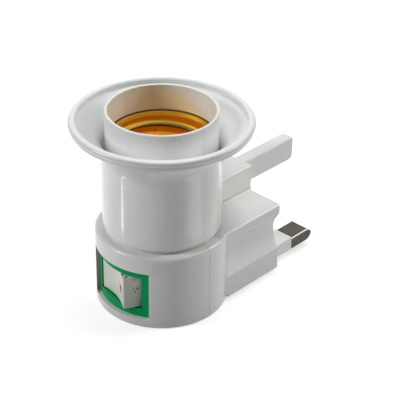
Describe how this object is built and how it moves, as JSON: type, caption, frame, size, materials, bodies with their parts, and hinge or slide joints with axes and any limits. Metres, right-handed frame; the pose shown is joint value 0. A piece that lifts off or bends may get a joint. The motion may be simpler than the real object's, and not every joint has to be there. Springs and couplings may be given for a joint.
{
  "type": "plug in lamp holder",
  "caption": "Plug-in lamp holder: screw lamp socket in a collar with a trumpet flange, on a switched drum base with a flat-pin wall plug at the back.",
  "frame": {"origin": "centre of the drum's underside, on the lamp socket's axis", "axes": "+Z along the lamp socket's axis, out of its mouth; +Y the way the plug's pins point; the rocker switch faces -Y; +X to the right of someone who looks at the switch"},
  "size_m": [0.0496, 0.078, 0.058],
  "materials": {
    "shell_white": "moulded, glossy",
    "sleeve_white": "moulded, glossy",
    "rocker_white": "moulded, glossy",
    "bezel_green": "moulded, glossy",
    "switch_dark": "moulded",
    "socket_gold": "rolled sheet, gold coloured",
    "contact_brass": "punched strip",
    "contact_silver": "silver faced rivet",
    "pin_metal": "drawn bar, nickel plated",
    "insulator_board": "pressed board",
    "steel": "zinc plated",
    "lead_brown": "insulated wire",
    "lead_blue": "insulated wire",
    "pin_sleeve_white": "moulded"
  },
  "bodies": {
    "holder": {"front_shell": "shell_white", "rear_shell": "shell_white", "flange_sleeve": "sleeve_white", "screw_shell": "socket_gold", "socket_insulator": "insulator_board", "centre_contact": "contact_brass", "neutral_strap": "contact_brass", "contact_rivets": "contact_brass", "case_screws": "steel", "live_pin": "pin_metal", "neutral_pin": "pin_metal", "live_pin_sleeve": "pin_sleeve_white", "neutral_pin_sleeve": "pin_sleeve_white", "switch_bezel": "bezel_green", "switch_body": "switch_dark", "common_terminal": "contact_brass", "switched_terminal": "contact_brass", "fixed_contact": "contact_silver", "live_lead": "lead_brown", "switched_lead": "lead_brown", "neutral_lead": "lead_blue"},
    "rocker": {"rocker": "rocker_white", "plunger": "contact_brass", "rocker_spring": "steel"},
    "seesaw": {"seesaw_contact": "contact_brass", "moving_contact": "contact_silver"}
  },
  "joints": [
    {"name": "rocker_tilt", "type": "hinge", "parent": "holder", "child": "rocker", "pos_m": [0, -0.01128, 0.01009], "axis": [0, 0, 1], "range_deg": [0, 33]},
    {"name": "seesaw_tilt", "type": "hinge", "parent": "holder", "child": "seesaw", "pos_m": [0, -0.0046, 0.01009], "axis": [0, 0, 1], "range_deg": [-14, 0]}
  ],
  "couplings": [
    {"joint": "seesaw_tilt", "follows": "rocker_tilt", "ratio": -0.4242}
  ]
}
